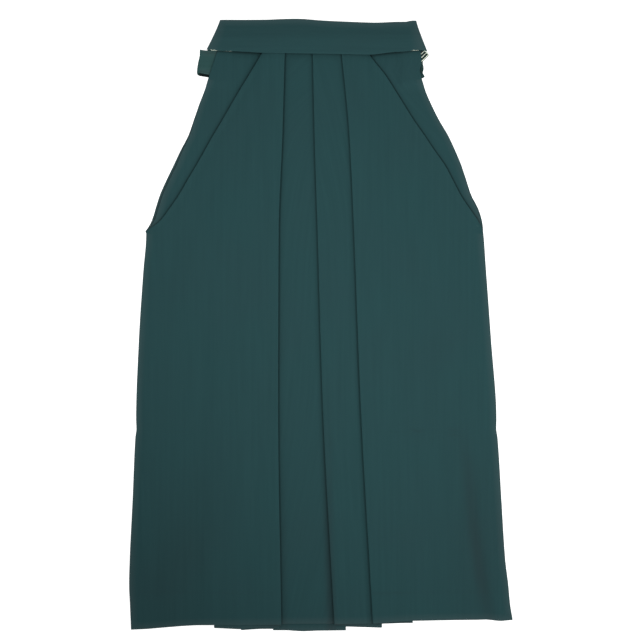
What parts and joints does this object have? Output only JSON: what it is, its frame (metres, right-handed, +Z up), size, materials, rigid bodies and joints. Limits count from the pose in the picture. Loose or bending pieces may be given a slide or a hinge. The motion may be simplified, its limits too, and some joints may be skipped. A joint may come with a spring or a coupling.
{
  "type": "hakama trousers laid flat",
  "caption": "Pleated wide-legged hakama trousers lying flat, front up, with a stiff waistband, slanted side strips, adjuster straps and metal rings.",
  "frame": {"origin": "middle of the garment's bounding box, on the surface that it lies on", "axes": "+Y up the garment toward the waist, +X toward the wearer's left side, +Z up from the surface through the front of the cloth"},
  "size_m": [0.609, 0.9707, 0.0124],
  "materials": {
    "hakama_cloth": "smooth dark green woven polyester, low sheen",
    "slide_metal": "pale plated wire"
  },
  "bodies": {
    "root": {"front_waistband": "hakama_cloth", "back_waistband": "hakama_cloth", "front_right_leg": "hakama_cloth", "front_left_leg": "hakama_cloth", "back_right_leg": "hakama_cloth", "back_left_leg": "hakama_cloth", "side_fold_right": "hakama_cloth", "side_fold_left": "hakama_cloth", "adjuster_strap_right": "hakama_cloth", "adjuster_strap_left": "hakama_cloth", "strap_ring_right": "slide_metal", "strap_ring_left": "slide_metal", "strap_slide_left": "slide_metal"}
  },
  "joints": []
}
